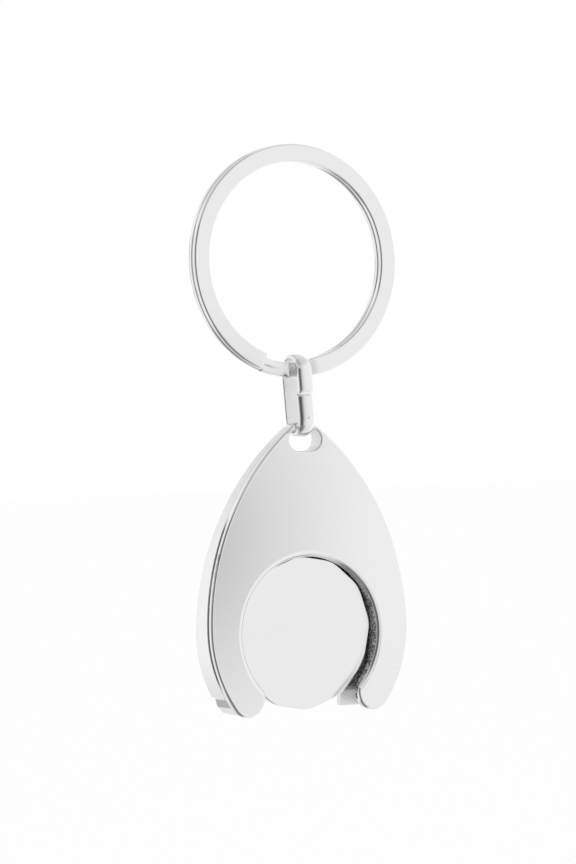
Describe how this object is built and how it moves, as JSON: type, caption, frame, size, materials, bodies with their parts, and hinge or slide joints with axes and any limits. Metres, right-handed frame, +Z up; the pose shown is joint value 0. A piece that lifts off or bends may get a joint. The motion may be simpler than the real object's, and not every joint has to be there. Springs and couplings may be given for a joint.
{
  "type": "trolley coin keyring",
  "caption": "Chrome keyring: a flat split ring and an oblong link carry a teardrop holder with a removable twelve-sided trolley token",
  "frame": {"origin": "the point inside the top of the split ring where a hook or a key bears on it, midway between the ring's two turns", "axes": "+Z up with the keyring hanging, +Y from the front plate towards the back, +X to the right as seen from the front"},
  "size_m": [0.0354, 0.0078, 0.0866],
  "materials": {
    "ring_chrome": "bright nickel-plated steel wire",
    "link_chrome": "bright nickel-plated steel strip",
    "plate_chrome": "polished chrome plate",
    "body_chrome": "polished and chromed zinc casting",
    "magnet_nickel": "nickel-plated magnet",
    "token_nickel": "plain nickel-plated steel, faintly brushed"
  },
  "bodies": {
    "ring": {"split_ring": "ring_chrome"},
    "link": {"connecting_link": "link_chrome"},
    "holder": {"front_plate": "plate_chrome", "holder_body": "body_chrome", "retaining_magnet": "magnet_nickel"},
    "token": {"trolley_token": "token_nickel"}
  },
  "joints": [
    {"name": "link_swing", "type": "hinge", "parent": "ring", "child": "link", "pos_m": [0, 0, -0.03213], "axis": [1, 0, 0], "range_deg": [-90, 90]},
    {"name": "holder_swing", "type": "hinge", "parent": "link", "child": "holder", "pos_m": [0, -0.00065, -0.03877], "axis": [1, 0, 0], "range_deg": [-90, 90]},
    {"name": "token_slide", "type": "slide", "parent": "holder", "child": "token", "axis": [0, 0.0767, -0.9971], "range_m": [0, 0.026]}
  ]
}
